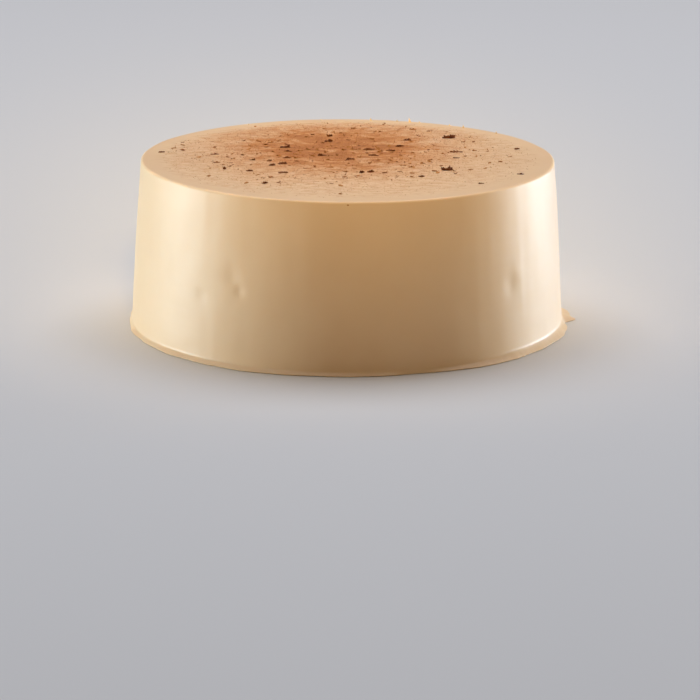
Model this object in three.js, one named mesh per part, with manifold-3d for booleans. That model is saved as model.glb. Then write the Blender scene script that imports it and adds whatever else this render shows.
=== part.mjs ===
// A whole round cake, covered smooth with coffee buttercream and strewn with grated chocolate.
//
// Millimetres, +Z up. The origin is the middle of the flat underside, and the cake's front faces
// -Y. Angles round the cake are in degrees from that front, positive towards its right (+X).
// The cake is uncut, so it is one solid: icing, nibs and flakes are fused into a single body.

import * as THREE from 'three';
import { mergeVertices } from 'three/addons/utils/BufferGeometryUtils.js';
import Module from 'manifold-3d';

const wasm = await Module();
wasm.setup();

// The iced cake: an 8 inch cake with its coat of icing, a little narrower at the top.
const HEIGHT = 81;
const BASE_RADIUS = 105;
const TOP_RADIUS = 100;
const WALL_BOW = 0.4; // how far the wall swells past a straight line at mid height
const EDGE_RADIUS = 1.4; // the scraped edge between wall and top
const SEGMENTS = 180; // columns of faces round the cake
const WALL_ROWS = 4;
const EDGE_ROWS = 3;

// A wall spread by hand is never a true round: [mm in or out, waves round the cake, phase].
const WANDER = [
  [0.25, 2, 0.6],
  [0.18, 3, 2.2],
  [0.14, 5, 4.1],
  [0.08, 9, 1.3],
];

// The thin foot of icing pressed out where the cake meets the surface that it stands on.
const FOOT_WIDTH = 2.2;
const FOOT_HEIGHT = 0.9;
const FOOT_FILLET = 1; // height in which the foot runs into the wall
const FOOT_THINNEST = 0.3;
// Where it is wider or thinner: [angle, mm more or less, half width of that stretch in degrees].
const FOOT_LOBES = [
  [-86, -1.2, 8],
  [-97, 0.8, 4],
  [-31, 0.8, 12], // full at the front left
  [2, -1.1, 8],
  [20, -1.8, 6], // scraped nearly bare, right of the front
  [43, 1.1, 5],
  [74, 1.3, 7],
  [88, -1.5, 2], // a nick, just before
  [92, 3.9, 1.6], // the pointed end of a smear that a knife drew out on the right
  [97, 3.0, 4], // and the smear behind it
  [135, -1.0, 12],
  [205, 0.9, 9],
  [235, -0.8, 10],
];
// Its ragged rim: [mm, waves round the cake, phase].
const FOOT_RIPPLES = [
  [0.28, 13, 1.0],
  [0.22, 29, 2.4],
];

// Nibs of icing that the knife left standing on the rim, most of them behind: [angle, height].
const NIB_WIDTH = 1.8;
const NIB_SUNK = 0.8;
const NIB_INSET = 2.8; // from the wall's top in to a nib's middle
const NIBS = [
  [130, 1.3],
  [143, 1.5],
  [148, 1.0],
  [158, 1.0],
  [161, 2.4],
  [165, 1.0],
  [173, 1.3],
  [188, 0.7],
  [211, 0.8],
];

// Every flake of chocolate is a ridged shaving with five uneven corners, sunk into the icing.
const FLAKE_CORNERS = 5;
const FLAKE_SUNK = 0.5;
const RIDGE_LENGTH = 0.75; // its upper face against its lower one, along the flake
const RIDGE_WIDTH = 0.35; // and across it
const FLAKE_LEAN = 12; // degrees, the most that one tips
// The largest flakes, each where it fell: [x, y, length, width, height, turn].
const LARGE_FLAKES = [
  [50.2, 51.4, 6.4, 3.2, 2.4, 4],
  [47.6, -27.3, 5.6, 3.4, 2.3, 12],
  [53, 15.9, 6.4, 1.8, 0.9, 3],
  [52.6, 1.2, 4.2, 1.3, 0.6, -6],
  [6.9, -34.5, 3.2, 2.2, 1.3, 60],
  [11, -33.5, 3.0, 2.2, 1.6, 30],
  [35, -43.6, 2.6, 2.0, 1.0, 25],
  [25.5, 29.1, 4.2, 2.6, 1.2, 10],
  [10.5, 20.9, 5.2, 3.2, 1.1, -15],
  [21, 18, 4.6, 2.2, 0.8, -20],
  [1.3, -3.2, 4.2, 2.6, 1.2, 18],
  [-9, 54.5, 3.0, 2.4, 1.5, 40],
  [-9.4, 41.5, 4.2, 2.6, 1.5, 20],
  [-30.7, 25.8, 5.0, 3.0, 1.2, 12],
  [-29, 15.9, 3.8, 2.6, 1.1, -30],
  [-31.1, -14.6, 4.2, 3.0, 1.2, 15],
  [-37.5, -7, 3.0, 2.0, 0.8, 70],
  [-12.4, 6.2, 4.0, 2.4, 1.3, 5],
  [-46.5, -31.5, 3.0, 2.0, 1.0, 10],
  [-38.6, -60, 2.6, 2.2, 1.4, 30],
  [-64.6, 7.8, 5.4, 1.2, 0.7, 2],
  [-58.5, -27.4, 1.6, 1.0, 1.8, 0],
  [82, -36.4, 3.4, 1.8, 0.8, -8],
  [83, 23.6, 2.8, 1.8, 1.2, 35],
  [62.5, -57.7, 2.6, 1.6, 0.9, 20],
  [-90.6, 12.4, 3.4, 1.8, 0.8, 25],
  [12.5, 6, 5.0, 2.4, 0.9, -8],
  [-30.6, -35.4, 4.6, 2.4, 0.9, 12],
  [-36.1, -18, 3.2, 2.2, 0.9, 5],
  [-46, -5.6, 2.8, 2.0, 0.9, -10],
  [-29.2, -0.4, 3.8, 2.2, 0.8, 15],
  [29.4, 45, 3.8, 2.2, 0.8, 0],
];
// The smaller ones: many lie in a drift behind the middle, the rest anywhere on the top.
const SMALL_FLAKES = 150;
const STREWN_RADIUS = 92; // the rim beyond it stays clean
const FLAKE_GAP = 4; // least distance between the middles of two flakes
const DRIFT_SHARE = 0.5;
// Each patch has its middle, and how far its farthest flakes lie from it to the side and to the back.
const DRIFT = { x: -2, y: 14, sideways: 92, deep: 90 };
const SCATTER = { x: 5, y: 2, sideways: 140, deep: 122 };
const SMALL_LENGTH = [1.7, 3.6];
const SMALL_WIDTH = [0.4, 0.75]; // against the length
const SMALL_HEIGHT = [0.35, 0.8];
const SEED = 123;

const icing = new THREE.MeshStandardMaterial({ name: 'coffee_buttercream', color: 0xdcb68a, roughness: 0.5 });

/** Sums waves of [mm, waves round the cake, phase] at an angle in degrees. */
function sumWaves(waves, angle) {
  const turn = THREE.MathUtils.degToRad(angle);
  return waves.reduce((sum, [size, count, phase]) => sum + size * Math.sin(count * turn + phase), 0);
}

/** The true wall's radius at a height. */
function wallRadius(z) {
  const share = z / HEIGHT;
  return BASE_RADIUS + (TOP_RADIUS - BASE_RADIUS) * share + WALL_BOW * 4 * share * (1 - share);
}

/** How far the foot reaches past the wall at an angle. */
function footWidth(angle) {
  let width = FOOT_WIDTH + sumWaves(FOOT_RIPPLES, angle);
  for (const [middle, extra, halfWidth] of FOOT_LOBES) {
    const away = THREE.MathUtils.euclideanModulo(angle - middle + 180, 360) - 180;
    width += extra * Math.exp(-0.5 * (away / halfWidth) ** 2);
  }
  return Math.max(width, FOOT_THINNEST);
}

/** The cake's half section, from the axis at the underside round to the axis at the top. */
function halfSection() {
  const footEnd = FOOT_HEIGHT + FOOT_FILLET;
  const wallEnd = HEIGHT - EDGE_RADIUS;
  const points = [
    new THREE.Vector2(0, 0),
    new THREE.Vector2(wallRadius(0) + FOOT_WIDTH, 0),
    new THREE.Vector2(wallRadius(0) + 0.85 * FOOT_WIDTH, 0.6 * FOOT_HEIGHT),
    new THREE.Vector2(wallRadius(0) + 0.35 * FOOT_WIDTH, FOOT_HEIGHT),
  ];
  for (let row = 0; row < WALL_ROWS; row++) {
    const z = THREE.MathUtils.lerp(footEnd, wallEnd, row / WALL_ROWS);
    points.push(new THREE.Vector2(wallRadius(z), z));
  }
  const edgeMiddle = wallRadius(wallEnd) - EDGE_RADIUS;
  for (let row = 0; row <= EDGE_ROWS; row++) {
    const rise = (row / EDGE_ROWS) * Math.PI / 2;
    points.push(new THREE.Vector2(
      edgeMiddle + EDGE_RADIUS * Math.cos(rise),
      wallEnd + EDGE_RADIUS * Math.sin(rise),
    ));
  }
  points.push(new THREE.Vector2(0, HEIGHT));
  return points;
}

/** The icing's round form, with the wall's wander and the uneven foot of hand work. */
function icedForm() {
  const geometry = new THREE.LatheGeometry(halfSection(), SEGMENTS);
  geometry.rotateX(Math.PI / 2);
  const position = geometry.attributes.position;
  for (let i = 0; i < position.count; i++) {
    const x = position.getX(i);
    const y = position.getY(i);
    const radius = Math.hypot(x, y);
    if (radius < 1) {
      position.setXY(i, 0, 0);
      continue;
    }
    const angle = THREE.MathUtils.radToDeg(Math.atan2(x, -y));
    const pastWall = (radius - wallRadius(position.getZ(i))) / FOOT_WIDTH;
    const footShare = THREE.MathUtils.clamp(pastWall, 0, 1);
    const uneven = sumWaves(WANDER, angle) + footShare * (footWidth(angle) - FOOT_WIDTH);
    const scale = (radius + uneven) / radius;
    position.setXY(i, x * scale, y * scale);
  }
  return geometry;
}

/** One pointed nib of icing on the rim. */
function nib(angle, height) {
  const geometry = new THREE.ConeGeometry(NIB_WIDTH / 2, height + NIB_SUNK, 5);
  geometry.rotateX(Math.PI / 2);
  const turn = THREE.MathUtils.degToRad(angle);
  const radius = TOP_RADIUS - NIB_INSET;
  const middle = HEIGHT + (height - NIB_SUNK) / 2;
  geometry.translate(radius * Math.sin(turn), -radius * Math.cos(turn), middle);
  return geometry;
}

/** Returns a function that draws numbers from 0 to 1, the same ones each run. */
function seededDraw(seed) {
  let state = seed;
  return () => {
    state = (Math.imul(1664525, state) + 1013904223) >>> 0;
    return state / 2 ** 32;
  };
}

/** Draws the uneven corners of a flake, as [share of its turn, share of its radius]. */
function drawCorners(draw) {
  return Array.from({ length: FLAKE_CORNERS }, (_, corner) => {
    const share = (corner + 0.55 * draw()) / FLAKE_CORNERS;
    return [share, 0.75 + 0.4 * draw()];
  });
}

/** Lists every flake, the large ones first and then the small ones that the rule places. */
function strewFlakes() {
  const draw = seededDraw(SEED);
  const between = ([low, high]) => low + (high - low) * draw();
  const bell = () => (2 / 3) * (draw() + draw() + draw()) - 1; // from -1 to 1, mostly near 0
  const flakes = LARGE_FLAKES.map(([x, y, length, width, height, turn]) => ({
    x, y, length, width, height, turn, lean: 0, corners: drawCorners(draw),
  }));
  while (flakes.length < LARGE_FLAKES.length + SMALL_FLAKES) {
    const patch = draw() < DRIFT_SHARE ? DRIFT : SCATTER;
    const x = patch.x + patch.sideways * bell();
    const y = patch.y + patch.deep * bell();
    const crowded = flakes.some((other) => Math.hypot(other.x - x, other.y - y) < FLAKE_GAP);
    if (crowded || Math.hypot(x, y) > STREWN_RADIUS) {
      continue;
    }
    const length = between(SMALL_LENGTH);
    flakes.push({
      x,
      y,
      length,
      width: length * between(SMALL_WIDTH),
      height: between(SMALL_HEIGHT),
      turn: 360 * draw(),
      lean: between([-FLAKE_LEAN, FLAKE_LEAN]),
      corners: drawCorners(draw),
    });
  }
  return flakes;
}

/** One flake, lying where it fell on the top. */
function flakeForm(flake) {
  const outline = flake.corners.map(([share, reach]) => new THREE.Vector2(
    0.5 * flake.length * reach * Math.cos(2 * Math.PI * share),
    0.5 * flake.width * reach * Math.sin(2 * Math.PI * share),
  ));
  const geometry = new THREE.ExtrudeGeometry(new THREE.Shape(outline), {
    depth: flake.height + FLAKE_SUNK,
    bevelEnabled: false,
  });
  const position = geometry.attributes.position;
  for (let i = 0; i < position.count; i++) {
    if (position.getZ(i) > 0) {
      position.setXY(i, position.getX(i) * RIDGE_LENGTH, position.getY(i) * RIDGE_WIDTH);
    }
  }
  geometry.rotateY(THREE.MathUtils.degToRad(flake.lean));
  geometry.rotateZ(THREE.MathUtils.degToRad(flake.turn));
  geometry.translate(flake.x, flake.y, HEIGHT - FLAKE_SUNK);
  return geometry;
}

/** Turns a closed geometry into a solid that can be joined. */
function toSolid(geometry) {
  geometry.deleteAttribute('normal');
  geometry.deleteAttribute('uv');
  const merged = mergeVertices(geometry);
  const corners = [];
  for (let i = 0; i < merged.index.count; i += 3) {
    const [a, b, c] = [0, 1, 2].map((corner) => merged.index.getX(i + corner));
    // Next to the axis a lathed row has triangles with no area, which are left out.
    if (a !== b && b !== c && c !== a) {
      corners.push(a, b, c);
    }
  }
  return new wasm.Manifold(new wasm.Mesh({
    numProp: 3,
    vertProperties: new Float32Array(merged.attributes.position.array),
    triVerts: new Uint32Array(corners),
  }));
}

/** Turns a solid back into a geometry. */
function toGeometry(solid) {
  const { vertProperties, triVerts } = solid.getMesh();
  const geometry = new THREE.BufferGeometry();
  geometry.setAttribute('position', new THREE.BufferAttribute(vertProperties, 3));
  geometry.setIndex(new THREE.BufferAttribute(triVerts, 1));
  geometry.computeVertexNormals();
  return geometry;
}

const toppings = [
  ...NIBS.map(([angle, height]) => nib(angle, height)),
  ...strewFlakes().map(flakeForm),
];
const cake = toppings.reduce((whole, piece) => whole.add(toSolid(piece)), toSolid(icedForm()));

const frostedCake = new THREE.Mesh(toGeometry(cake), icing);
frostedCake.name = 'frosted_cake';

const group = new THREE.Group();
group.add(frostedCake);

export default group;
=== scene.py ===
"""Dresses a whole round cake: coffee buttercream, shaved chocolate and a dusting of its crumbs.

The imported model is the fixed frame. Shapes are worked out in millimetres, as a baker measures
them, and turned to metres when a mesh is made. +Z is up and the cake's front faces -Y. Angles
round the cake are in degrees from that front, positive towards its right (+X).
"""

import logging
import math
from dataclasses import dataclass, field
from enum import Enum

import bpy
import numpy as np
from mathutils import Euler, Matrix, Vector, noise

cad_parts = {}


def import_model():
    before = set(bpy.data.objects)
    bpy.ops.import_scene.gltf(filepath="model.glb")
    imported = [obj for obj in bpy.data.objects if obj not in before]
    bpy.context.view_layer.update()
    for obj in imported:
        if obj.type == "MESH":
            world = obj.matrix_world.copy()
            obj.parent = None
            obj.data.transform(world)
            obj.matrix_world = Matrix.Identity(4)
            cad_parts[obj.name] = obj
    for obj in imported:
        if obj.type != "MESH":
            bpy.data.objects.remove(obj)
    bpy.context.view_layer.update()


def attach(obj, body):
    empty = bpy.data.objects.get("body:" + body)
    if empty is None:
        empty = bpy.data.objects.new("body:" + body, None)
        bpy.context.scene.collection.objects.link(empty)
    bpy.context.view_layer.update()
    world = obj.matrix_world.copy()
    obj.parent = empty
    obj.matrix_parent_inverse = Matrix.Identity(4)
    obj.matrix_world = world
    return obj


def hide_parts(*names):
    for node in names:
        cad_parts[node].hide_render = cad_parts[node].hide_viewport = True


LOG = logging.getLogger("cake")
MM = 0.001
CAKE_NODE = "frosted_cake"
BODY = "root"

Tree = bpy.types.NodeTree
Socket = bpy.types.NodeSocket
Wave = tuple[float, int, float]
Pair = tuple[float, float]
Point = tuple[float, float, float]
Face = tuple[int, ...]


class Slot(Enum):
    """The record's material slots."""

    BUTTERCREAM = "buttercream"
    CHOCOLATE = "chocolate"


# ---------------------------------------------------------------- small helpers


def linear(hex_colour: str) -> tuple[float, float, float, float]:
    """Turns an sRGB hex colour into the linear colour that shaders take.

    Args:
        hex_colour: A colour such as "#C8A070".

    Returns:
        Linear red, green, blue and an alpha of 1.
    """
    channels = [int(hex_colour[i : i + 2], 16) / 255 for i in (1, 3, 5)]
    decoded = [c / 12.92 if c <= 0.04045 else ((c + 0.055) / 1.055) ** 2.4 for c in channels]
    return (*decoded, 1.0)


def add_node(tree: Tree, kind: str, settings: dict, inputs: dict) -> bpy.types.Node:
    """Adds one node with its settings, values and links.

    Args:
        tree: The node tree that gets the node.
        kind: The node's type, without its leading "ShaderNode".
        settings: The node's own options, by attribute name.
        inputs: By input name or index, a value or the output socket that feeds it.

    Returns:
        The new node.
    """
    node = tree.nodes.new("ShaderNode" + kind)
    for name, value in settings.items():
        setattr(node, name, value)
    for name, value in inputs.items():
        if isinstance(value, Socket):
            tree.links.new(value, node.inputs[name])
        else:
            node.inputs[name].default_value = value
    return node


def new_material(name: str) -> tuple[bpy.types.Material, Tree]:
    """Makes a material with an empty node tree.

    Args:
        name: The real thing that the material is.

    Returns:
        The material and its tree.
    """
    material = bpy.data.materials.new(name)
    material.use_nodes = True
    material.node_tree.nodes.clear()
    return material, material.node_tree


def make_piece(
    name: str, points_mm: np.ndarray, faces: list[Face], sharp_degrees: float
) -> bpy.types.Object:
    """Makes a mesh object from points in millimetres.

    Args:
        name: The piece's name.
        points_mm: One row of x, y and z for each vertex.
        faces: Tuples of vertex numbers.
        sharp_degrees: Edges that bend more than this stay crisp.

    Returns:
        The new object, linked to the scene.
    """
    mesh = bpy.data.meshes.new(name)
    mesh.from_pydata((np.asarray(points_mm) * MM).tolist(), [], faces)
    mesh.validate()
    mesh.shade_smooth()
    mesh.set_sharp_from_angle(angle=math.radians(sharp_degrees))
    piece = bpy.data.objects.new(name, mesh)
    bpy.context.scene.collection.objects.link(piece)
    return piece


def set_point_values(piece: bpy.types.Object, name: str, values: np.ndarray) -> None:
    """Stores one number for each vertex, which a material can read.

    Args:
        piece: The mesh object.
        name: The attribute's name.
        values: One value for each vertex.
    """
    attribute = piece.data.attributes.new(name, "FLOAT", "POINT")
    attribute.data.foreach_set("value", np.asarray(values, np.float32))


def ring_faces(columns: int, low: int, high: int) -> list[Face]:
    """Joins two rings of points by faces.

    Args:
        columns: The points in each ring.
        low: The first point of the lower ring.
        high: The first point of the upper ring.

    Returns:
        Faces that look outwards when the rings run anticlockwise.
    """
    return [
        (low + i, low + (i + 1) % columns, high + (i + 1) % columns, high + i) for i in range(columns)
    ]


def sum_waves(waves: tuple[Wave, ...], degrees: float) -> float:
    """Sums waves round the cake.

    Args:
        waves: Each wave's size in mm, its count round the cake and its phase.
        degrees: The angle from the front.

    Returns:
        Millimetres out from the true round.
    """
    turn = math.radians(degrees)
    return sum(size * math.sin(count * turn + phase) for size, count, phase in waves)


def turn_between(degrees: float, middle: float) -> float:
    """The shorter way round from one angle to another, in degrees."""
    return (degrees - middle + 180) % 360 - 180


def smoothstep(value: float) -> float:
    """Eases a share from 0 to 1."""
    share = min(max(value, 0.0), 1.0)
    return share * share * (3 - 2 * share)


# ---------------------------------------------------------------- the cake's form


@dataclass
class CakeForm:
    """The iced cake's outer form in millimetres: the solid's sizes, with finer unevenness on them."""

    height: float = 81.0
    base_radius: float = 105.0
    top_radius: float = 100.0
    wall_bow: float = 0.4
    edge_radius: float = 1.4
    # The edge's mean and its stray, as shares of that radius, and its uneven stretches in a radian.
    edge_uneven: Point = (0.9, 0.3, 6.0)
    wander: tuple[Wave, ...] = ((0.25, 2, 0.6), (0.18, 3, 2.2), (0.14, 5, 4.1), (0.08, 9, 1.3))
    foot_width: float = 2.2
    foot_thinnest: float = 0.3
    # Where the foot is wider or thinner: angle, mm more or less, half width in degrees.
    foot_lobes: tuple[Point, ...] = (
        (-86, -1.2, 8),
        (-97, 0.8, 4),
        (-31, 0.8, 12),
        (2, -1.1, 8),
        (20, -1.8, 6),
        (43, 1.1, 5),
        (74, 1.3, 7),
        (88, -1.5, 2),
        (92, 3.9, 1.6),
        (97, 3.0, 4),
        (103, 2.8, 3.2),  # a low smear that the solid leaves out
        (135, -1.0, 12),
        (205, 0.9, 9),
        (235, -0.8, 10),
    )
    foot_ripples: tuple[Wave, ...] = ((0.28, 13, 1.0), (0.22, 29, 2.4))
    # Finer raggedness of the foot's lip, and how long its bites are.
    lip_rough: float = 0.3
    lip_bite: float = 2.2
    # How high the foot runs up the wall, at the front left and elsewhere.
    flare_heights: Pair = (1.8, 3.6)
    # Where it is low: the middle angle, the degrees to each side and those over which it grows.
    low_foot: Point = (-20.0, 52.0, 18.0)
    # Marks of hand spreading in the wall: depth, size round it and size up it in mm, place in the
    # noise. In turn they are a swell, small dents, the level bands that the scraper's edge draws
    # and the upright strokes where it stopped and went on.
    wall_marks: tuple[tuple[float, float, float, float], ...] = (
        (0.26, 27, 36, 0),
        (0.05, 8, 11, 5),
        (0.03, 60, 4, 0),
        (0.08, 7, 60, 9),
    )
    # Knocks in the wall: angle, height, half width and half height in mm, depth in mm. What has a
    # depth below 0 stands out.
    knocks: tuple[tuple[float, float, float, float, float], ...] = (
        (-31.0, 43.0, 3.2, 3.2, 0.38),
        (-28.8, 36.4, 1.9, 2.1, 0.42),
        (-41.0, 31.0, 2.4, 3.0, 0.26),
        (47.8, 34.5, 2.8, 3.4, 0.28),
        (50.5, 41.0, 2.4, 3.0, -0.16),
        (52.5, 35.0, 1.6, 13.0, -0.1),  # the low ridge where the scraper was lifted off
        (18.0, 22.0, 3.0, 3.0, 0.1),
        (128.0, 48.0, 2.6, 3.4, 0.3),
        (-140.0, 27.0, 3.0, 2.6, 0.25),
    )
    # The middle of the turning stroke that smoothed the top, a little off the cake's own.
    stroke_middle: Pair = (14.0, -9.0)
    top_swell: Pair = (0.22, 34.0)  # depth and size
    top_arcs: Point = (0.09, 4.5, 38.0)  # depth, spacing and length
    calm_rim: float = 6.0  # how far in from the edge the top is levelled again

    def wall_radius(self, z: float) -> float:
        """The true wall's radius at a height."""
        share = z / self.height
        bow = self.wall_bow * 4 * share * (1 - share)
        return self.base_radius + (self.top_radius - self.base_radius) * share + bow

    def foot_reach(self, degrees: float) -> float:
        """How far the foot of icing reaches past the wall.

        Args:
            degrees: The angle from the front.

        Returns:
            Millimetres past the wall at the underside.
        """
        width = self.foot_width + sum_waves(self.foot_ripples, degrees)
        for middle, extra, half_width in self.foot_lobes:
            width += extra * math.exp(-0.5 * (turn_between(degrees, middle) / half_width) ** 2)
        turn = math.radians(degrees)
        along = self.base_radius / self.lip_bite
        bite = noise.noise(Vector((along * math.sin(turn), along * math.cos(turn), 1.7)))
        return max(width + self.lip_rough * bite, self.foot_thinnest)

    def foot_flare(self, degrees: float) -> float:
        """How high the foot runs up the wall: a thin lip at the front left, a soft flare elsewhere."""
        low, high = self.flare_heights
        middle, half_width, growth = self.low_foot
        away = abs(turn_between(degrees, middle)) - half_width
        return low + (high - low) * smoothstep(away / growth)

    def wall_relief(self, degrees: float, z: float) -> float:
        """What hand spreading does to the wall.

        Args:
            degrees: The angle from the front.
            z: The height in mm.

        Returns:
            Millimetres in or out, without the slow wander.
        """
        turn = math.radians(degrees)
        x, y = self.base_radius * math.sin(turn), -self.base_radius * math.cos(turn)
        relief = 0.0
        for depth, across, up, start in self.wall_marks:
            relief += depth * noise.noise(Vector((x / across, y / across, z / up + start)))
        for middle, knock_z, half_width, half_height, depth in self.knocks:
            side = math.radians(turn_between(degrees, middle)) * self.base_radius
            away = math.hypot(side / half_width, (z - knock_z) / half_height)
            relief -= depth * math.exp(-0.5 * away * away)
        return relief

    def top_relief(self, x: float, y: float) -> float:
        """What the spatula left on the top, from the level of the top face.

        Args:
            x: Millimetres to the right of the axis.
            y: Millimetres behind the axis.

        Returns:
            Millimetres up or down.
        """
        from_stroke = math.hypot(x - self.stroke_middle[0], y - self.stroke_middle[1])
        depth, size = self.top_swell
        swell = depth * noise.noise(Vector((x / size, y / size, 3.0)))
        depth, spacing, length = self.top_arcs
        arcs = depth * noise.noise(Vector((from_stroke / spacing, x / length, y / length)))
        fade = smoothstep((self.top_radius - math.hypot(x, y)) / self.calm_rim)
        return (swell + arcs) * fade

    def edge(self, degrees: float) -> float:
        """The radius of the edge between wall and top, which a scraper leaves a little uneven."""
        turn = math.radians(degrees)
        mean, stray, count = self.edge_uneven
        uneven = noise.noise(Vector((count * math.sin(turn), count * math.cos(turn), 4.0)))
        return self.edge_radius * (mean + stray * uneven)


# ---------------------------------------------------------------- finishes


@dataclass(frozen=True)
class CoffeeButtercream:
    """Butter, sugar and coffee, whipped, spread and scraped smooth.

    The fat makes it satin rather than matt, and lets light in a few millimetres, so its shaded
    side stays soft. Chocolate dust that lies on it is dull and stains it.
    """

    cream: str = "#E3C29B"
    deeper_cream: str = "#DCB78C"  # strokes with a little more coffee in them
    dust_stain: str = "#B97A42"
    dense_stain: str = "#8E4E20"
    mottle_mm: float = 30.0
    scrape_mm: float = 1.6  # width of the finest line that the scraper leaves
    scrape_depth_mm: float = 0.03
    scrape_length: float = 40.0  # how many times longer than wide its lines are
    air_hole_mm: float = 27.0  # one pinhole in each stretch of this length
    air_hole_radius_mm: float = 0.45
    air_hole_depth_mm: float = 0.14
    bump_strength: float = 0.6
    clump_mm: Pair = (5.0, 2.6)  # a clump of dust, along and across the strewing
    dust_weight: float = 1.1  # against the noise of the clumps, which it is added to
    stained: Pair = (0.5, 1.35)  # the sums at which the stain starts and is full
    densely_stained: Pair = (1.25, 1.95)
    stain_limit: float = 5.0  # times the dust, so that icing without dust stays clean
    roughness: float = 0.52
    film_roughness: float = 0.42  # the skin of butterfat that the warm spatula drew to the surface
    film_share: float = 0.15
    dusty_roughness: float = 0.8
    butter_ior: float = 1.46
    scatter_share: float = 0.3
    scatter_mm: float = 1.6
    scatter_reach: Point = (1.0, 0.8, 0.6)  # red light goes furthest in

    def make(self) -> bpy.types.Material:
        """Builds the material.

        Returns:
            The buttercream, which reads the mesh's own density of dust.
        """
        material, tree = new_material("coffee_buttercream")
        place = add_node(tree, "TexCoord", {}, {}).outputs["Object"]
        dust = add_node(tree, "Attribute", {"attribute_name": "dust"}, {}).outputs["Fac"]
        colour, covered = self._colour(tree, place, dust)
        rough = add_node(
            tree,
            "MapRange",
            {},
            {"Value": covered, "To Min": self.roughness, "To Max": self.dusty_roughness},
        )
        film = add_node(tree, "MapRange", {}, {"Value": covered, "To Min": self.film_share, "To Max": 0.0})
        shader = add_node(
            tree,
            "BsdfPrincipled",
            {"subsurface_method": "RANDOM_WALK"},
            {
                "Base Color": colour,
                "Roughness": rough.outputs[0],
                "Normal": self._relief(tree, place),
                "IOR": self.butter_ior,
                "Coat Weight": film.outputs[0],
                "Coat Roughness": self.film_roughness,
                "Coat IOR": self.butter_ior,
                "Subsurface Weight": self.scatter_share,
                "Subsurface Radius": self.scatter_reach,
                "Subsurface Scale": self.scatter_mm * MM,
            },
        )
        add_node(tree, "OutputMaterial", {}, {"Surface": shader.outputs[0]})
        return material

    def _colour(self, tree: Tree, place: Socket, dust: Socket) -> tuple[Socket, Socket]:
        """Mixes cream, deeper strokes and dust.

        Args:
            tree: The material's tree.
            place: Object coordinates.
            dust: The density of dust on the mesh, 0 to 1.

        Returns:
            The colour and the share that dust covers.
        """
        mottle = add_node(
            tree, "TexNoise", {}, {"Vector": place, "Scale": 1 / (self.mottle_mm * MM), "Detail": 4.0}
        )
        cream = add_node(
            tree,
            "Mix",
            {"data_type": "RGBA"},
            {0: mottle.outputs[0], 6: linear(self.cream), 7: linear(self.deeper_cream)},
        )
        along, across = (1 / (size * MM) for size in self.clump_mm)
        strewn = add_node(tree, "Mapping", {}, {"Vector": place, "Scale": (along, across, across)})
        clumps = add_node(tree, "TexNoise", {}, {"Vector": strewn.outputs[0], "Scale": 1.0, "Detail": 4.0})
        # Dust falls in clumps: where it is thin only the clumps' middles show.
        weighed = {0: dust, 1: self.dust_weight, 2: clumps.outputs[0]}
        settled = add_node(tree, "Math", {"operation": "MULTIPLY_ADD"}, weighed).outputs[0]
        low, high = self.stained
        spread = add_node(tree, "MapRange", {}, {"Value": settled, "From Min": low, "From Max": high})
        most = add_node(tree, "Math", {"operation": "MULTIPLY"}, {0: dust, 1: self.stain_limit})
        covered = add_node(
            tree, "Math", {"operation": "MINIMUM"}, {0: spread.outputs[0], 1: most.outputs[0]}
        )
        # And where it lies thick, the clumps are darker than the stain between them.
        low, high = self.densely_stained
        thick = add_node(tree, "MapRange", {}, {"Value": settled, "From Min": low, "From Max": high})
        stain = add_node(
            tree,
            "Mix",
            {"data_type": "RGBA"},
            {0: thick.outputs[0], 6: linear(self.dust_stain), 7: linear(self.dense_stain)},
        )
        colour = add_node(
            tree,
            "Mix",
            {"data_type": "RGBA"},
            {0: covered.outputs[0], 6: cream.outputs[2], 7: stain.outputs[2]},
        )
        return colour.outputs[2], covered.outputs[0]

    def _relief(self, tree: Tree, place: Socket) -> Socket:
        """Adds scraper lines and pinholes that are too fine for the mesh.

        Args:
            tree: The material's tree.
            place: Object coordinates.

        Returns:
            The bumped normal.
        """
        line = 1 / (self.scrape_mm * MM)
        slow = line / self.scrape_length
        level = add_node(tree, "Mapping", {}, {"Vector": place, "Scale": (slow, slow, line)})
        lines = add_node(tree, "TexNoise", {}, {"Vector": level.outputs[0], "Scale": 1.0, "Detail": 2.0})
        scraped = add_node(
            tree,
            "Bump",
            {},
            {
                "Height": lines.outputs[0],
                "Strength": self.bump_strength,
                "Distance": self.scrape_depth_mm * MM,
            },
        )
        holes = add_node(
            tree, "TexVoronoi", {"feature": "F1"}, {"Vector": place, "Scale": 1 / (self.air_hole_mm * MM)}
        )
        pit = add_node(
            tree,
            "MapRange",
            {"interpolation_type": "SMOOTHSTEP"},
            {"Value": holes.outputs["Distance"], "From Max": self.air_hole_radius_mm / self.air_hole_mm},
        )
        pitted = add_node(
            tree,
            "Bump",
            {},
            {
                "Height": pit.outputs[0],
                "Strength": self.bump_strength,
                "Distance": self.air_hole_depth_mm * MM,
                "Normal": scraped.outputs[0],
            },
        )
        return pitted.outputs[0]


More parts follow.
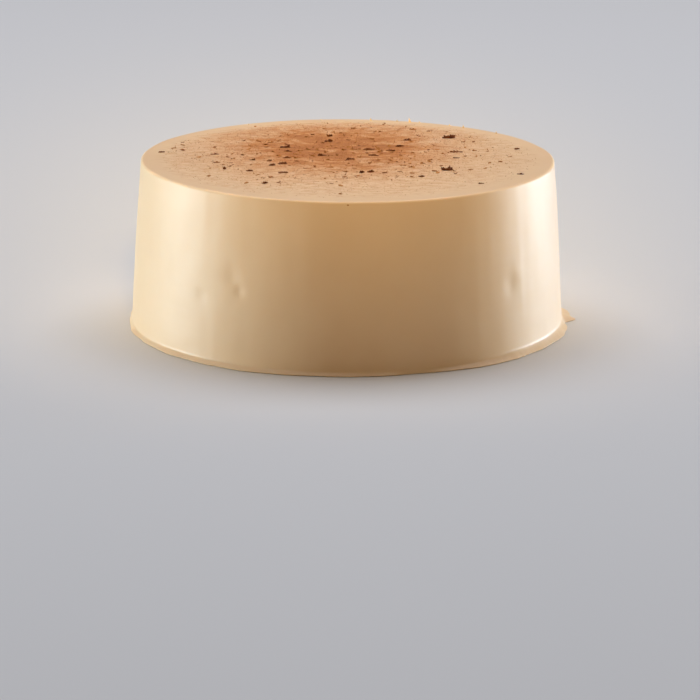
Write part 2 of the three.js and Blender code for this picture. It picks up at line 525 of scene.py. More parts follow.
@dataclass(frozen=True)
class ShavedChocolate:
    """Dark chocolate, shaved: thick pieces are dark, thin and bruised ones a warm brown, partly their own
    colour and partly painted light that shines through a thin shaving and catches on its edges.

    Its broken faces are dull, with only a trace of cocoa butter's gloss.
    """

    thick: str = "#4A2008"
    cut: str = "#7E4820"
    # painted light: this warm brown stands in for light shining through thin shavings and caught on their
    # edges
    thin: str = "#C08448"
    cut_tone: float = 0.5  # the tone at which a shaving has the colour of a cut
    roughness: Pair = (0.55, 0.85)
    gloss: float = 0.2  # against a polished face
    cocoa_butter_ior: float = 1.46
    scratch_mm: float = 0.5  # the blade's scratches
    scratch_depth_mm: float = 0.1
    scratch_strength: float = 0.5

    def make(self) -> bpy.types.Material:
        """Builds the material.

        Returns:
            The chocolate, which reads each shaving's own tone.
        """
        material, tree = new_material("shaved_chocolate")
        place = add_node(tree, "TexCoord", {}, {}).outputs["Object"]
        tone = add_node(tree, "Attribute", {"attribute_name": "tone"}, {}).outputs["Fac"]
        to_cut = add_node(tree, "MapRange", {}, {"Value": tone, "From Max": self.cut_tone})
        # tones past a cut's blend towards the painted light of thin shavings
        to_thin_lit_through = add_node(tree, "MapRange", {}, {"Value": tone, "From Min": self.cut_tone})
        darker = add_node(
            tree,
            "Mix",
            {"data_type": "RGBA"},
            {0: to_cut.outputs[0], 6: linear(self.thick), 7: linear(self.cut)},
        )
        colour = add_node(
            tree,
            "Mix",
            {"data_type": "RGBA"},
            {0: to_thin_lit_through.outputs[0], 6: darker.outputs[2], 7: linear(self.thin)},
        )
        scratches = add_node(
            tree, "TexNoise", {}, {"Vector": place, "Scale": 1 / (self.scratch_mm * MM), "Detail": 3.0}
        ).outputs[0]
        low, high = self.roughness
        rough = add_node(tree, "MapRange", {}, {"Value": scratches, "To Min": low, "To Max": high})
        scratched = add_node(
            tree,
            "Bump",
            {},
            {
                "Height": scratches,
                "Strength": self.scratch_strength,
                "Distance": self.scratch_depth_mm * MM,
            },
        )
        shader = add_node(
            tree,
            "BsdfPrincipled",
            {},
            {
                "Base Color": colour.outputs[2],
                "Roughness": rough.outputs[0],
                "Normal": scratched.outputs[0],
                "IOR": self.cocoa_butter_ior,
                "Specular IOR Level": self.gloss,
            },
        )
        add_node(tree, "OutputMaterial", {}, {"Surface": shader.outputs[0]})
        return material


@dataclass(frozen=True)
class ChocolateDust:
    """What the blade makes besides shavings: fine dry grains, matt and reddish brown."""

    pale: str = "#D09A68"
    dark: str = "#945830"
    roughness: float = 0.9
    gloss: float = 0.1

    def make(self) -> bpy.types.Material:
        """Builds the material.

        Returns:
            The dust, which reads each grain's own tone.
        """
        material, tree = new_material("chocolate_dust")
        tone = add_node(tree, "Attribute", {"attribute_name": "tone"}, {}).outputs["Fac"]
        colour = add_node(
            tree, "Mix", {"data_type": "RGBA"}, {0: tone, 6: linear(self.dark), 7: linear(self.pale)}
        )
        shader = add_node(
            tree,
            "BsdfPrincipled",
            {},
            {"Base Color": colour.outputs[2], "Roughness": self.roughness, "Specular IOR Level": self.gloss},
        )
        add_node(tree, "OutputMaterial", {}, {"Surface": shader.outputs[0]})
        return material


@dataclass(frozen=True)
class StudioPaper:
    """Seamless studio paper: pale, matt, with a faint tooth."""

    pale: str = "#D6D1CA"
    tooth_mm: float = 2.0
    tooth_depth_mm: float = 0.1
    tooth_strength: float = 0.1
    roughness: float = 0.95
    gloss: float = 0.05

    def make(self) -> bpy.types.Material:
        """Builds the material.

        Returns:
            The paper.
        """
        material, tree = new_material("studio_paper")
        place = add_node(tree, "TexCoord", {}, {}).outputs["Object"]
        tooth = add_node(tree, "TexNoise", {}, {"Vector": place, "Scale": 1 / (self.tooth_mm * MM)})
        toothed = add_node(
            tree,
            "Bump",
            {},
            {
                "Height": tooth.outputs[0],
                "Strength": self.tooth_strength,
                "Distance": self.tooth_depth_mm * MM,
            },
        )
        shader = add_node(
            tree,
            "BsdfPrincipled",
            {},
            {
                "Base Color": linear(self.pale),
                "Roughness": self.roughness,
                "Specular IOR Level": self.gloss,
                "Normal": toothed.outputs[0],
            },
        )
        add_node(tree, "OutputMaterial", {}, {"Surface": shader.outputs[0]})
        return material


# ---------------------------------------------------------------- the icing


@dataclass
class Drift:
    """Where the chocolate lies: a drift behind the middle that thins out towards the rim."""

    middle: Pair = (-6.0, 24.0)
    reach: Pair = (43.0, 49.0)  # where it has thinned to three fifths
    clump_mm: Pair = (17.0, 11.0)
    clumping: float = 0.4
    fine_clumping: float = 0.3  # in clumps a third as large
    strewn_radius: float = 92.0
    # It thins out over the last stretch, which ends a little past that radius, both in mm.
    rim_fade: Pair = (12.0, 3.0)

    def density(self, x: float, y: float) -> float:
        """How thickly the dust lies.

        Args:
            x: Millimetres to the right of the axis.
            y: Millimetres behind the axis.

        Returns:
            0 on clean icing, 1 at the thickest.
        """
        away = math.hypot((x - self.middle[0]) / self.reach[0], (y - self.middle[1]) / self.reach[1])
        fall = math.exp(-0.5 * away * away)
        across, deep = x / self.clump_mm[0], y / self.clump_mm[1]
        clump = noise.noise(Vector((across, deep, 7.0)))
        fine = noise.noise(Vector((3 * across, 3 * deep, 2.0)))
        stretch, past = self.rim_fade
        fade = smoothstep((self.strewn_radius + past - math.hypot(x, y)) / stretch)
        thick = fall * (1.0 + self.clumping * clump + self.fine_clumping * fine)
        return min(max(thick, 0.0), 1.0) * fade


@dataclass
class CoffeeIcing:
    """The coat of buttercream, from its ragged foot over the wall and edge to the top."""

    form: CakeForm
    drift: Drift
    columns: int = 720
    lip_height: float = 0.35  # of the foot's rounded lip
    # The lip's rounding, as shares of the foot's reach and of the lip's height.
    lip_section: tuple[Pair, ...] = ((0.92, 0.0), (0.99, 0.45))
    foot_hollow: float = 1.4  # how much faster than a straight slope the foot runs out
    foot_rows: int = 12
    wall_rows: int = 72
    edge_rows: int = 8
    top_rings: int = 58
    relief_rise: float = 4.0  # mm over the foot in which the wall's relief sets in
    nib_width: float = 1.8
    nib_sunk: float = 0.8
    nib_inset: float = 2.8
    nib_lean: float = 0.35  # of its height
    nib_uneven: float = 0.2
    nib_sides: int = 10
    # A nib's section up to its tip: shares of its height and of its width.
    nib_section: tuple[Pair, ...] = ((0.0, 1.0), (0.3, 0.8), (0.6, 0.45), (0.85, 0.2))
    # Nibs that the knife left standing on the rim: angle, height in mm.
    nibs: tuple[Pair, ...] = (
        (130, 1.3),
        (143, 1.5),
        (148, 1.0),
        (158, 1.0),
        (161, 2.4),
        (165, 1.0),
        (173, 1.3),
        (188, 0.7),
        (211, 0.8),
    )

    def build(self, finish: bpy.types.Material) -> bpy.types.Object:
        """Builds the coat and dresses it.

        Args:
            finish: The buttercream.

        Returns:
            The dressed piece.
        """
        points, faces = self._coat()
        for degrees, height in self.nibs:
            nib_points, nib_faces = self._nib(degrees, height)
            faces += [tuple(i + len(points) for i in face) for face in nib_faces]
            points += nib_points
        icing = make_piece("coffee_icing", np.array(points), faces, sharp_degrees=80)
        top = self.form.height - self.form.edge_radius
        dust = [self.drift.density(x, y) if z > top else 0.0 for x, y, z in points]
        set_point_values(icing, "dust", np.array(dust))
        icing.data.materials.append(finish)
        return icing

    def _foot(self, degrees: float) -> list[Pair]:
        """Draws the foot's section: a rounded lip, then a hollow curve up into the wall.

        Args:
            degrees: The column's angle from the front.

        Returns:
            Radius and height of each row in mm.
        """
        form, lip = self.form, self.lip_height
        reach, flare = form.foot_reach(degrees), form.foot_flare(degrees)
        base = form.wall_radius(0)
        rows = [(base + out * reach, up * lip) for out, up in self.lip_section]
        for row in range(self.foot_rows):
            share = (row / self.foot_rows) ** self.foot_hollow
            z = lip + (flare - lip) * share
            rows.append((form.wall_radius(z) + reach * (1 - share) ** self.foot_hollow, z))
        return rows

    def _column(self, degrees: float) -> list[Point]:
        """Lists the points up one column, from the lip of the foot to the top's innermost ring.

        Args:
            degrees: The column's angle from the front.

        Returns:
            Points in mm.
        """
        form = self.form
        edge = form.edge(degrees)
        wall_end = form.height - edge
        wander = sum_waves(form.wander, degrees)
        rows = self._foot(degrees)
        foot_end = form.foot_flare(degrees)
        for row in range(self.wall_rows):
            z = foot_end + (wall_end - foot_end) * row / self.wall_rows
            fade = smoothstep((z - foot_end) / self.relief_rise)
            rows.append((form.wall_radius(z) + form.wall_relief(degrees, z) * fade, z))
        edge_middle = form.wall_radius(wall_end) + form.wall_relief(degrees, wall_end) - edge
        for row in range(self.edge_rows):
            rise = 0.5 * math.pi * row / self.edge_rows
            rows.append((edge_middle + edge * math.cos(rise), wall_end + edge * math.sin(rise)))
        turn = math.radians(degrees)
        points = [
            ((r + wander) * math.sin(turn), -(r + wander) * math.cos(turn), z) for r, z in rows
        ]
        for ring in range(self.top_rings):
            radius = (edge_middle + wander) * (1 - ring / self.top_rings)
            x, y = radius * math.sin(turn), -radius * math.cos(turn)
            points.append((x, y, form.height + form.top_relief(x, y)))
        return points

    def _coat(self) -> tuple[list[Point], list[Face]]:
        """Sets the columns round the cake and closes them over the top and the underside.

        Returns:
            Points in mm and faces.
        """
        columns = [self._column(360 * column / self.columns) for column in range(self.columns)]
        points = [point for row in zip(*columns) for point in row]
        rows = len(columns[0])
        faces: list[Face] = []
        for row in range(rows - 1):
            faces += ring_faces(self.columns, row * self.columns, (row + 1) * self.columns)
        last = (rows - 1) * self.columns
        points += [(0.0, 0.0, self.form.height + self.form.top_relief(0, 0)), (0.0, 0.0, 0.0)]
        top_middle, under_middle = len(points) - 2, len(points) - 1
        for column in range(self.columns):
            after = (column + 1) % self.columns
            faces.append((last + column, last + after, top_middle))
            faces.append((after, column, under_middle))
        return points, faces

    def _nib(self, degrees: float, height: float) -> tuple[list[Point], list[Face]]:
        """Makes one soft point of icing, leaning the way that the knife left.

        Args:
            degrees: The angle from the front.
            height: How far it stands over the top, in mm.

        Returns:
            Points in mm and faces.
        """
        sides, rings = self.nib_sides, self.nib_section
        turn = math.radians(degrees)
        radius = self.form.top_radius - self.nib_inset
        foot = Vector((radius * math.sin(turn), -radius * math.cos(turn), self.form.height - self.nib_sunk))
        lean = Vector((math.cos(turn), math.sin(turn), 0)) * self.nib_lean * height
        whole = height + self.nib_sunk
        points: list[Point] = []
        for rise, share in rings:
            for side in range(sides):
                around = 2 * math.pi * side / sides
                uneven = 1 + self.nib_uneven * math.sin(3 * around + degrees)
                out = 0.5 * self.nib_width * share * uneven
                corner = Vector((out * math.cos(around), out * math.sin(around), rise * whole))
                points.append(tuple(foot + corner + lean * rise * rise))
        points.append(tuple(foot + lean + Vector((0, 0, whole))))
        faces: list[Face] = []
        for ring in range(len(rings) - 1):
            faces += ring_faces(sides, ring * sides, (ring + 1) * sides)
        tip, last = len(points) - 1, (len(rings) - 1) * sides
        faces += [(last + side, last + (side + 1) % sides, tip) for side in range(sides)]
        faces.append(tuple(reversed(range(sides))))
        return points, faces


# ---------------------------------------------------------------- the chocolate


class SeededDraw:
    """Draws the same numbers each run, the ones that placed the solid's flakes."""

    def __init__(self, seed: int) -> None:
        """Starts the draws at a seed."""
        self.state = seed

    def share(self) -> float:
        """Draws a number from 0 to 1."""
        self.state = (1664525 * self.state + 1013904223) % 2**32
        return self.state / 2**32

    def between(self, limits: Pair) -> float:
        """Draws a number between two limits."""
        return limits[0] + (limits[1] - limits[0]) * self.share()

    def bell(self) -> float:
        """Draws a number from -1 to 1 that is mostly near 0."""
        return (2 / 3) * (self.share() + self.share() + self.share()) - 1


@dataclass
class Flake:
    """One flake of chocolate, in millimetres and degrees."""

    x: float
    y: float
    length: float
    width: float
    height: float
    turn: float
    lean: float = 0.0


@dataclass
class Patch:
    """A patch where flakes fall: its middle, and how far its farthest flakes lie from it."""

    x: float
    y: float
    sideways: float
    deep: float


@dataclass
class ChocolateShavings:
    """The flakes that are large enough to see from a step away, where the solid has them."""

    form: CakeForm
    seed: int = 123
    flake_corners: int = 5
    most_lean: float = 12.0
    small_flakes: int = 150
    strewn_radius: float = 92.0
    least_gap: float = 4.0
    drift_share: float = 0.5
    drift: Patch = field(default_factory=lambda: Patch(-2, 14, 92, 90))
    scatter: Patch = field(default_factory=lambda: Patch(5, 2, 140, 122))
    small_length: Pair = (1.7, 3.6)
    small_width: Pair = (0.4, 0.75)
    small_height: Pair = (0.35, 0.8)
    # The largest, each where it fell: x, y, length, width, height, turn.
    large: tuple[tuple[float, ...], ...] = (
        (50.2, 51.4, 6.4, 3.2, 2.4, 4),
        (47.6, -27.3, 5.6, 3.4, 2.3, 12),
        (53, 15.9, 6.4, 1.8, 0.9, 3),
        (52.6, 1.2, 4.2, 1.3, 0.6, -6),
        (6.9, -34.5, 3.2, 2.2, 1.3, 60),
        (11, -33.5, 3.0, 2.2, 1.6, 30),
        (35, -43.6, 2.6, 2.0, 1.0, 25),
        (25.5, 29.1, 4.2, 2.6, 1.2, 10),
        (10.5, 20.9, 5.2, 3.2, 1.1, -15),
        (21, 18, 4.6, 2.2, 0.8, -20),
        (1.3, -3.2, 4.2, 2.6, 1.2, 18),
        (-9, 54.5, 3.0, 2.4, 1.5, 40),
        (-9.4, 41.5, 4.2, 2.6, 1.5, 20),
        (-30.7, 25.8, 5.0, 3.0, 1.2, 12),
        (-29, 15.9, 3.8, 2.6, 1.1, -30),
        (-31.1, -14.6, 4.2, 3.0, 1.2, 15),
        (-37.5, -7, 3.0, 2.0, 0.8, 70),
        (-12.4, 6.2, 4.0, 2.4, 1.3, 5),
        (-46.5, -31.5, 3.0, 2.0, 1.0, 10),
        (-38.6, -60, 2.6, 2.2, 1.4, 30),
        (-64.6, 7.8, 5.4, 1.2, 0.7, 2),
        (-58.5, -27.4, 1.6, 1.0, 1.8, 0),
        (82, -36.4, 3.4, 1.8, 0.8, -8),
        (83, 23.6, 2.8, 1.8, 1.2, 35),
        (62.5, -57.7, 2.6, 1.6, 0.9, 20),
        (-90.6, 12.4, 3.4, 1.8, 0.8, 25),
        (12.5, 6, 5.0, 2.4, 0.9, -8),
        (-30.6, -35.4, 4.6, 2.4, 0.9, 12),
        (-36.1, -18, 3.2, 2.2, 0.9, 5),
        (-46, -5.6, 2.8, 2.0, 0.9, -10),
        (-29.2, -0.4, 3.8, 2.2, 0.8, 15),
        (29.4, 45, 3.8, 2.2, 0.8, 0),
    )
    stations: int = 9  # along a shaving
    rails: int = 5  # across it
    thickness: Pair = (0.16, 0.3)
    sunk: float = 0.15
    # A shaving's form, as shares of its size, with its roll in radians.
    torn: float = 0.32
    narrowing: Pair = (0.3, 0.85)  # from its widest place to its ends
    widest_off: float = 0.3  # how far that place may lie from its middle
    narrowing_power: Pair = (1.2, 3.0)
    narrowest: float = 0.15
    roll: Pair = (0.5, 2.6)
    end_lift: Pair = (-0.3, 0.9)
    crumple: float = 0.12
    tall: float = 0.75  # a flake higher than this is a clump of several shavings
    # The shavings of a clump, as shares of its size, with their turns in degrees.
    heap_parts: int = 6  # in the highest clump
    part_off: Pair = (0.3, 0.25)
    part_length: Pair = (0.3, 0.55)
    part_width: Pair = (0.4, 0.8)
    part_height: Pair = (0.45, 0.9)
    part_lean: float = 25.0
    part_turn: float = 60.0
    clump_thickness: float = 1.6  # times a lone shaving's
    # From dark to warm brown, the warm end partly painted light shining through thin chocolate: large flakes
    # are thick, small ones are mostly thin.
    large_tone: Pair = (0.0, 0.55)
    small_tone: Pair = (0.45, 0.95)
    # The solid's small flakes are blunt; the shavings in their place are ragged, so they cover less.
    small_share: float = 0.75

    def flakes(self) -> list[Flake]:
        """Lists every flake, drawn in the order in which the solid's were.

        Returns:
            The large flakes, then the small ones.
        """
        draw = SeededDraw(self.seed)
        # Each flake of the solid also draws its uneven corners, two numbers for each corner.
        corner_draws = 2 * self.flake_corners
        flakes = []
        for values in self.large:
            flakes.append(Flake(*values))
            for _ in range(corner_draws):
                draw.share()
        while len(flakes) < len(self.large) + self.small_flakes:
            patch = self.drift if draw.share() < self.drift_share else self.scatter
            x = patch.x + patch.sideways * draw.bell()
            y = patch.y + patch.deep * draw.bell()
            crowded = any(math.hypot(other.x - x, other.y - y) < self.least_gap for other in flakes)
            if crowded or math.hypot(x, y) > self.strewn_radius:
                continue
            length = draw.between(self.small_length)
            width = length * draw.between(self.small_width)
            height = draw.between(self.small_height)
            turn = 360 * draw.share()
            lean = draw.between((-self.most_lean, self.most_lean))
            flakes.append(Flake(x, y, length, width, height, turn, lean))
            for _ in range(corner_draws):
                draw.share()
        return flakes

    def _sheet(self, rng: np.random.Generator) -> tuple[np.ndarray, np.ndarray]:
        """Draws one thin curled sheet with torn edges, in a box of 1 by 1 by 1.

        Args:
            rng: The seeded generator.

        Returns:
            The sheet's points by station and rail, and the same for its upward normals.
        """
        along = np.linspace(-1, 1, self.stations)
        across = np.linspace(-1, 1, self.rails)
        torn = 1 + self.torn * np.clip(rng.standard_normal((self.stations, 2)), -2, 1.5)
        narrowing = rng.uniform(*self.narrowing)
        off = np.abs(along + rng.uniform(-self.widest_off, self.widest_off))
        taper = np.maximum(1 - narrowing * off ** rng.uniform(*self.narrowing_power), self.narrowest)
        left, right = taper * torn[:, 0], taper * torn[:, 1]
        reach = np.where(across[None, :] < 0, left[:, None], right[:, None]) * across[None, :]
        # It rolls across its width, from a shallow gutter to half a pipe, and its ends lift.
        roll = rng.uniform(*self.roll)
        angle = roll * reach
        x = 0.5 * along[:, None] + 0 * reach
        y = 0.5 * np.sin(angle) / max(math.sin(min(roll, math.pi / 2)), 0.3)
        z = (1 - np.cos(angle)) / (1 - math.cos(roll))
        lift = rng.uniform(*self.end_lift, 2)
        z = z + np.where(along > 0, lift[0], lift[1])[:, None] * along[:, None] ** 2
        z += self.crumple * rng.standard_normal((self.stations, 1))
        points = np.stack([x, y, z], axis=-1)
        return points, np.stack([0 * y, -np.sin(angle), np.cos(angle)], axis=-1)

    def _shaving(self, flake: Flake, rng: np.random.Generator) -> tuple[np.ndarray, list[Face]]:
        """Makes one shaving where its flake lies.

        Args:
            flake: The flake.
            rng: The seeded generator.

        Returns:
            Points in mm and faces.
        """
        sheet, normals = self._sheet(rng)
        low, high = sheet[..., 2].min(), sheet[..., 2].max()
        thickness = rng.uniform(*self.thickness)
        if flake.height > self.tall:
            thickness *= self.clump_thickness
        rise = flake.height + self.sunk - thickness
        size = np.array([flake.length, flake.width, rise / (high - low)])
        middle = (sheet - (0, 0, low)) * size
        outward = normals / size
        outward /= np.linalg.norm(outward, axis=-1, keepdims=True)
        under, over = middle, middle + outward * thickness
        points = np.concatenate([under.reshape(-1, 3), over.reshape(-1, 3)])
        points[:, 2] -= self.sunk
        turned = Matrix.Rotation(math.radians(flake.turn), 3, "Z") @ Matrix.Rotation(
            math.radians(flake.lean), 3, "Y"
        )
        points = points @ np.array(turned).T
        ground = self.form.height + self.form.top_relief(flake.x, flake.y)
        return points + (flake.x, flake.y, ground), self._sheet_faces()

    def _sheet_faces(self) -> list[Face]:
        """Closes a sheet: its under side, its upper side and the strip round its edge."""
        rails, count = self.rails, self.stations * self.rails
        faces: list[Face] = []
        for station in range(self.stations - 1):
            for rail in range(rails - 1):
                corner = station * rails + rail
                quad = (corner, corner + 1, corner + rails + 1, corner + rails)
                faces.append(quad)
                faces.append(tuple(count + i for i in reversed(quad)))
        rim = [station * rails for station in range(self.stations)]
        rim += [(self.stations - 1) * rails + rail for rail in range(1, rails)]
        rim += [station * rails + rails - 1 for station in range(self.stations - 2, -1, -1)]
        rim += list(range(rails - 2, 0, -1))
        for start, end in zip(rim, rim[1:] + rim[:1]):
            faces.append((start, end, count + end, count + start))
        return faces

    def _clump(self, flake: Flake, rng: np.random.Generator) -> list[Flake]:
        """Breaks a tall flake into the shavings that it is a clump of.

        Args:
            flake: The flake as the solid has it.
            rng: The seeded generator.

        Returns:
            The shavings, one of them as high as the clump.
        """
        if flake.height < self.tall:
            length, width = self.small_share * flake.length, self.small_share * flake.width
            return [Flake(flake.x, flake.y, length, width, flake.height, flake.turn, flake.lean)]
        parts = [Flake(flake.x, flake.y, flake.length, flake.width, 0.5 * flake.height, flake.turn)]
        turn = math.radians(flake.turn)
        count = min(max(round(3 * flake.height), 3), self.heap_parts)
        off_along, off_across = self.part_off
        for part in range(count):
            along = rng.uniform(-off_along, off_along) * flake.length
            across = rng.uniform(-off_across, off_across) * flake.width
            x = flake.x + along * math.cos(turn) - across * math.sin(turn)
            y = flake.y + along * math.sin(turn) + across * math.cos(turn)
            length = rng.uniform(*self.part_length) * flake.length
            width = rng.uniform(*self.part_width) * flake.width
            height = flake.height * (1.0 if part == 0 else rng.uniform(*self.part_height))
            lean = rng.uniform(-self.part_lean, self.part_lean)
            part_turn = flake.turn + rng.uniform(-self.part_turn, self.part_turn)
            parts.append(Flake(x, y, length, width, height, part_turn, lean))
        return parts

    def build(self, finish: bpy.types.Material) -> bpy.types.Object:
        """Builds every flake as one piece.

        Args:
            finish: The chocolate.

        Returns:
            The dressed piece.
        """
        rng = np.random.default_rng(self.seed)
        points, faces, tones = [], [], []
        start = 0
        for number, flake in enumerate(self.flakes()):
            low, high = self.large_tone if number < len(self.large) else self.small_tone
            for part in self._clump(flake, rng):
                part_points, part_faces = self._shaving(part, rng)
                faces += [tuple(i + start for i in face) for face in part_faces]
                points.append(part_points)
                tones += [rng.uniform(low, high)] * len(part_points)
                start += len(part_points)
        shavings = make_piece("chocolate_shavings", np.concatenate(points), faces, sharp_degrees=50)
        set_point_values(shavings, "tone", np.array(tones))
        shavings.data.materials.append(finish)
        return shavings


@dataclass
class Sprinkling:
    """Many small grains of one kind, lying on the top."""

    name: str
    form: CakeForm
    drift: Drift
    count: int
    length: Pair
    proportions: Point  # length, width and thickness of a grain
    tone: Pair
    stray: float  # how likely a grain is to lie where the drift has none
    template: tuple[np.ndarray, list[Face]]
    seed: int
    uneven: float = 0.2  # how far a grain's corners stray
    tilt: float = 0.45  # radians from flat, typically
    seat: float = 0.75  # below 1, a grain is pressed a little into the icing
    batch: int = 4096  # places drawn at a time
    # Flakes that shed some of the grains, the share that they shed and how far those spread in mm.
    sources: tuple[Pair, ...] = ()
    shed_share: float = 0.0
    shed_mm: float = 2.2
    # Grains stuck to the wall: angle from the front, height in mm, length in mm.
    stuck: tuple[Point, ...] = ()
    stuck_proportions: Point = (1.0, 0.7, 0.7)

    def _places(self, rng: np.random.Generator) -> np.ndarray:
        """Draws where the grains lie.

        Args:
            rng: The seeded generator.

        Returns:
            One row of x and y in mm for each grain.
        """
        limit = self.drift.strewn_radius
        places: list[Pair] = []
        while len(places) < self.shed_share * self.count:
            source = self.sources[rng.integers(len(self.sources))]
            x, y = source + self.shed_mm * rng.standard_normal(2)
            if math.hypot(x, y) < limit:
                places.append((x, y))
        while len(places) < self.count:
            for x, y in rng.uniform(-limit, limit, (self.batch, 2)):
                inside = math.hypot(x, y) < limit
                if inside and rng.uniform() < self.stray + self.drift.density(x, y):
                    places.append((x, y))
        return np.array(places[: self.count])

    def _tumbled(self, count: int, rng: np.random.Generator) -> np.ndarray:
        """Draws grains of uneven form and size, turned every way but lying nearly flat.

        Args:
            count: How many.
            rng: The seeded generator.

        Returns:
            For each grain its points in mm round its own middle.
        """
        shape = self.template[0]
        low, high = self.length
        lengths = low + (high - low) * rng.uniform(size=count) ** 2
        uneven = 1 + self.uneven * rng.standard_normal((count, len(shape), 1))
        grains = 0.5 * shape * uneven * self.proportions * lengths[:, None, None]
        turn = rng.uniform(0, 2 * math.pi, count)
        tilt = self.tilt * rng.standard_normal(count)
        x, y, z = np.moveaxis(grains, -1, 0)
        x, z = (
            x * np.cos(tilt)[:, None] + z * np.sin(tilt)[:, None],
            z * np.cos(tilt)[:, None] - x * np.sin(tilt)[:, None],
        )
        x, y = (
            x * np.cos(turn)[:, None] - y * np.sin(turn)[:, None],
            x * np.sin(turn)[:, None] + y * np.cos(turn)[:, None],
        )
        return np.stack([x, y, z], axis=-1)

    def build(self, finish: bpy.types.Material) -> bpy.types.Object:
        """Builds all grains as one piece.

        Args:
            finish: The grains' material.

        Returns:
            The dressed piece.
        """
        rng = np.random.default_rng(self.seed)
        places = self._places(rng)
        shape, shape_faces = self.template
        grains = self._tumbled(self.count, rng)
        ground = [self.form.height + self.form.top_relief(x, y) for x, y in places]
        lift = -grains[:, :, 2].min(axis=1) * self.seat
        grains += np.column_stack([places, np.array(ground) + lift])[:, None, :]
        stuck = []
        for degrees, z, length in self.stuck:
            turn = math.radians(degrees)
            radius = self.form.wall_radius(z)
            grain = 0.5 * length * shape * self.stuck_proportions
            stuck.append(grain + (radius * math.sin(turn), -radius * math.cos(turn), z))
        points = np.concatenate([grains.reshape(-1, 3), *stuck])
        total = self.count + len(stuck)
        corners = len(shape)
        faces = [tuple(i + corners * grain for i in face) for grain in range(total) for face in shape_faces]
        piece = make_piece(self.name, points, faces, sharp_degrees=30)
        set_point_values(piece, "tone", np.repeat(rng.uniform(*self.tone, total), corners))
        piece.data.materials.append(finish)
        return piece


def octahedron() -> tuple[np.ndarray, list[Face]]:
    """The coarse start of a grain of dust: six corners, eight faces."""
    points = np.array([(1, 0, 0), (0, 1, 0), (-1, 0, 0), (0, -1, 0), (0, 0, 1), (0, 0, -1)], float)
    faces = [(i, (i + 1) % 4, 4) for i in range(4)] + [((i + 1) % 4, i, 5) for i in range(4)]
    return points, faces


def icosahedron() -> tuple[np.ndarray, list[Face]]:
    """The coarse start of a crumb: twelve corners, twenty faces.

    Returns:
        Points at a distance of 1 and faces.
    """
    ring_z = 1 / math.sqrt(5)
    ring_r = 2 * ring_z
    points = [(0.0, 0.0, 1.0)]
    for ring, z in enumerate((ring_z, -ring_z)):
        for side in range(5):
            around = math.radians(72 * side + 36 * ring)
            points.append((ring_r * math.cos(around), ring_r * math.sin(around), z))
    points.append((0.0, 0.0, -1.0))
    faces: list[Face] = []
    for side in range(5):
        after = (side + 1) % 5
        upper, upper_after, lower, lower_after = 1 + side, 1 + after, 6 + side, 6 + after
        faces += [
            (0, upper, upper_after),
            (upper, lower, upper_after),
            (upper_after, lower, lower_after),
            (lower, 11, lower_after),
        ]
    return np.array(points), faces


# ---------------------------------------------------------------- the studio


@dataclass
class Softbox:
    """One soft light, placed by its angle from the cake's front, its distance and its height."""

    name: str
    degrees: float
    distance: float
    height: float
    size: Pair
    watts: float
    colour: str = "#FFFFFF"
    grid_degrees: float = 180.0  # how wide the light spreads; a grid on the box narrows it
    aim: Point = (0.0, 0.0, 0.045)

    def build(self) -> None:
        """Adds the light."""
        light = bpy.data.lights.new(self.name, "AREA")
        light.shape = "RECTANGLE"
        light.size, light.size_y = self.size
        light.energy = self.watts
        light.color = linear(self.colour)[:3]
        light.spread = math.radians(self.grid_degrees)
        lamp = bpy.data.objects.new(self.name, light)
        turn = math.radians(self.degrees)
        lamp.location = (self.distance * math.sin(turn), -self.distance * math.cos(turn), self.height)
        facing = Vector(self.aim) - lamp.location
        lamp.rotation_euler = facing.to_track_quat("-Z", "Y").to_euler()
        lamp.visible_camera = False
        bpy.context.scene.collection.objects.link(lamp)


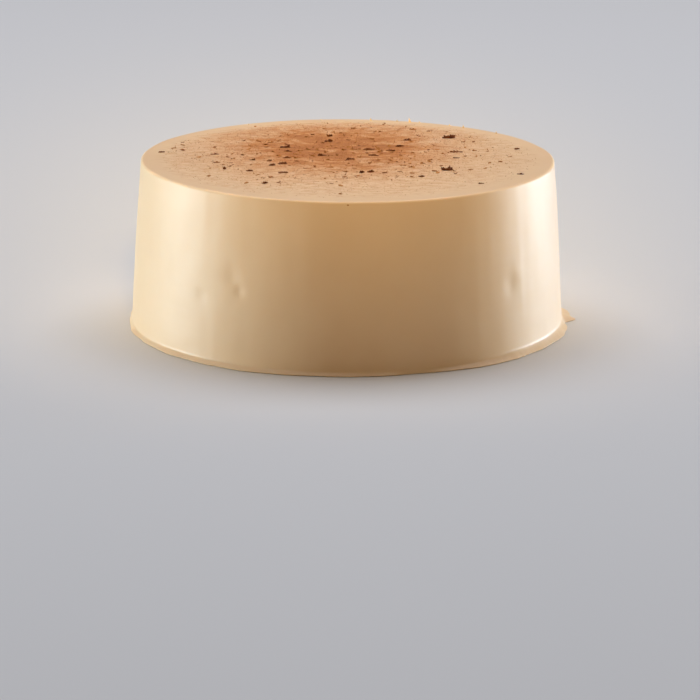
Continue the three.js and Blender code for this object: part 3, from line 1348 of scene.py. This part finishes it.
@dataclass
class Studio:
    """The pale floor, the soft lights and the camera at the photograph's angle."""

    camera_distance: float = 1.6993
    camera_height: float = 0.4269
    camera_right: float = 0.0016
    camera_down: float = 14.573  # degrees below level
    camera_roll: float = 0.264
    lens_mm: float = 184.2
    sensor_mm: float = 36.0
    sight: float = 100.0
    floor_size: float = 30.0
    floor_drop_mm: float = 0.2  # keeps the floor and the underside from sharing a plane
    world_colour: str = "#FFFFFF"
    world_strength: float = 0.03
    softboxes: tuple[Softbox, ...] = (
        # Low strips that reach the wall but not the top, which would mirror them at a flat angle.
        Softbox("left_strip", -97, 3.3, 0.05, (1.1, 0.09), 5.3, "#E6F9FF", grid_degrees=36),
        Softbox("right_strip", 118, 3.3, 0.05, (1.0, 0.09), 4.2, "#F4FFFA", grid_degrees=36),
        Softbox("right_back_strip", 128, 3.3, 0.05, (1.0, 0.09), 1.5, "#97BCFF", grid_degrees=36),
        Softbox("overhead_softbox", 180, 0.8, 2.75, (3.4, 2.2), 97.0, "#EAF0FF"),
        # A warm lamp behind a tight grid, aimed at the top of the wall, so its foot stays darker.
        Softbox(
            "front_lamp", 4, 0.8, 0.6, (0.2, 0.2), 0.175, "#FFDE9A", grid_degrees=22, aim=(0, 0, 0.15)
        ),
    )

    def place_camera(self) -> None:
        """Adds the camera and makes it the scene's."""
        camera = bpy.data.cameras.new("camera")
        camera.sensor_width = self.sensor_mm
        camera.lens = self.lens_mm
        camera.clip_end = self.sight
        rig = bpy.data.objects.new("camera", camera)
        rig.location = (self.camera_right, -self.camera_distance, self.camera_height)
        aim = Euler((math.radians(90 - self.camera_down), 0, 0)).to_matrix()
        roll = Matrix.Rotation(math.radians(self.camera_roll), 3, "Z")
        rig.rotation_euler = (aim @ roll).to_euler()
        bpy.context.scene.collection.objects.link(rig)
        bpy.context.scene.camera = rig

    def light(self) -> None:
        """Adds the softboxes and the dim light from all round."""
        for softbox in self.softboxes:
            softbox.build()
        world = bpy.data.worlds.new("studio")
        world.use_nodes = True
        background = world.node_tree.nodes["Background"]
        background.inputs["Color"].default_value = linear(self.world_colour)
        background.inputs["Strength"].default_value = self.world_strength
        bpy.context.scene.world = world
        bpy.context.scene.view_settings.view_transform = "Standard"

    def lay_floor(self) -> None:
        """Lays the plain pale floor under the cake."""
        half = self.floor_size / 2 / MM
        drop = -self.floor_drop_mm
        corners = np.array([(x * half, y * half, drop) for x, y in ((-1, -1), (1, -1), (1, 1), (-1, 1))])
        floor = make_piece("floor", corners, [(0, 1, 2, 3)], sharp_degrees=30)
        floor.data.materials.append(StudioPaper().make())


# ---------------------------------------------------------------- putting it together


def main() -> None:
    """Builds the studio and every piece of the cake, in order."""
    logging.basicConfig(level=logging.INFO, format="%(name)s: %(message)s")
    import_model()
    studio = Studio()
    studio.place_camera()
    studio.light()
    studio.lay_floor()

    form, drift = CakeForm(), Drift()
    buttercream = CoffeeButtercream().make()
    chocolate = ShavedChocolate().make()
    dust = ChocolateDust().make()
    icing = CoffeeIcing(form, drift).build(buttercream)
    flakes = ChocolateShavings(form)
    shavings = flakes.build(chocolate)
    crumbs = Sprinkling(
        name="chocolate_crumbs",
        form=form,
        drift=drift,
        count=700,
        length=(0.4, 1.4),
        proportions=(1.0, 0.5, 0.22),
        # these tones reach into the warm brown that is partly painted light shining through thin chocolate
        tone=(0.4, 0.9),
        stray=0.04,
        template=icosahedron(),
        seed=5,
        sources=tuple((flake.x, flake.y) for flake in flakes.flakes()),
        shed_share=0.55,
        stuck=((0.2, 79.5, 1.3),),
    ).build(chocolate)
    grains = Sprinkling(
        name="chocolate_dust",
        form=form,
        drift=drift,
        count=22000,
        length=(0.15, 0.5),
        proportions=(1.0, 0.8, 0.55),
        tone=(0.0, 1.0),
        stray=0.02,
        template=octahedron(),
        seed=6,
    ).build(dust)

    for piece, slot in (
        (icing, Slot.BUTTERCREAM),
        (shavings, Slot.CHOCOLATE),
        (crumbs, Slot.CHOCOLATE),
        (grains, Slot.CHOCOLATE),
    ):
        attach(piece, BODY)
        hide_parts(CAKE_NODE)
        LOG.info("%s: %d faces", piece.name, len(piece.data.polygons))


if __name__ == "__main__":
    main()
